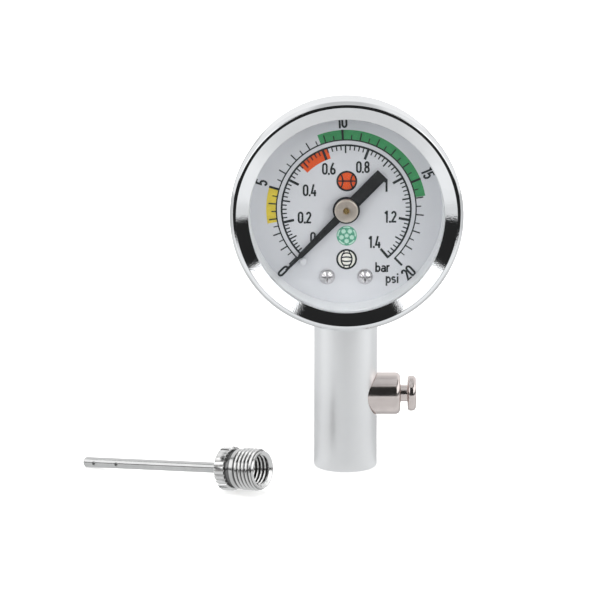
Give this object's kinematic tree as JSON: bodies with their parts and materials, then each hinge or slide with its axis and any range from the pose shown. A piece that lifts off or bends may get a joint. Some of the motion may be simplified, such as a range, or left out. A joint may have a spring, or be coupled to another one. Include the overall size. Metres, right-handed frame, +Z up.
{
  "type": "ball pressure gauge",
  "caption": "Dial pressure gauge on a chromed barrel with a side bleed button and a threaded needle socket, with a loose ball inflation needle lying beside it.",
  "frame": {"origin": "centre of the barrel's bottom face, on the axis of the threaded needle socket", "axes": "+Z up along the barrel to the dial, -Y out of the dial towards the reader, +X to the reader's right, where the bleed button is"},
  "size_m": [0.0716, 0.033, 0.072],
  "materials": {
    "satin_chrome": "satin",
    "bright_chrome": "polished",
    "satin_nickel": "satin",
    "brass": "satin",
    "steel": "satin",
    "spring_steel": "satin",
    "spring_bronze": "satin",
    "black_paint": "matt",
    "dial_paint": "satin",
    "white_plastic": "matt",
    "clear_lens": "gloss",
    "black_rubber": "matt",
    "fibre": "matt"
  },
  "bodies": {
    "gauge": {"barrel": "satin_chrome", "needle_seal": "black_rubber", "stem_washer": "fibre", "valve_housing": "satin_nickel", "valve_spring": "spring_steel", "socket_block": "brass", "case_cup": "bright_chrome", "bezel_ring": "bright_chrome", "lens": "clear_lens", "spacer_ring": "white_plastic", "dial_plate": "dial_paint", "dial_screws": "steel", "stop_pin": "dial_paint", "hairspring": "spring_bronze", "hairspring_stud": "brass", "bourdon_tube": "spring_bronze", "movement_back_plate": "brass", "movement_front_plate": "brass", "pillars": "brass", "movement_screws": "steel"},
    "pointer": {"pointer": "black_paint", "pointer_hub": "brass", "pinion_arbor": "steel", "hairspring_collet": "brass"},
    "sector": {"sector_gear": "brass", "sector_arbor": "steel", "link_pin": "steel"},
    "link": {"link_bar": "brass"},
    "tube_tip": {"bourdon_tip": "brass"},
    "button": {"valve_button": "satin_nickel", "poppet_seal": "black_rubber", "poppet_nut": "brass"},
    "needle": {"needle_collar": "bright_chrome", "needle_tube": "bright_chrome"}
  },
  "joints": [
    {"name": "pointer_spin", "type": "hinge", "parent": "gauge", "child": "pointer", "pos_m": [0, 0, 0.0503], "axis": [0, 1, 0], "range_deg": [0, 270], "stiffness_Nm_per_rad": 0.00000005, "springref_deg": -28.65, "deforming": ["hairspring"]},
    {"name": "sector_swing", "type": "hinge", "parent": "gauge", "child": "sector", "pos_m": [0.00527, 0, 0.04331], "axis": [0, 1, 0], "range_deg": [-45.5, 0.5]},
    {"name": "link_swing", "type": "hinge", "parent": "sector", "child": "link", "pos_m": [0.00662, 0, 0.04158], "axis": [0, 1, 0], "range_deg": [-0.5, 45.5]},
    {"name": "tip_flex", "type": "hinge", "parent": "gauge", "child": "tube_tip", "pos_m": [-0.00176, 0, 0.05281], "axis": [0, 1, 0], "range_deg": [-7.6, 0.2], "deforming": ["bourdon_tube"]},
    {"name": "valve_press", "type": "slide", "parent": "gauge", "child": "button", "axis": [-1, 0, 0], "range_m": [0, 0.0012], "stiffness_N_per_m": 500, "springref_m": -0.001, "deforming": ["valve_spring"]},
    {"name": "needle_lift", "type": "slide", "parent": "gauge", "child": "needle", "axis": [0, 0, 1], "range_m": [0, 0.05]}
  ],
  "couplings": [
    {"joint": "sector_swing", "follows": "pointer_spin", "ratio": -0.16667},
    {"joint": "link_swing", "follows": "pointer_spin", "ratio": 0.16667},
    {"joint": "tip_flex", "follows": "pointer_spin", "ratio": -0.027519}
  ]
}
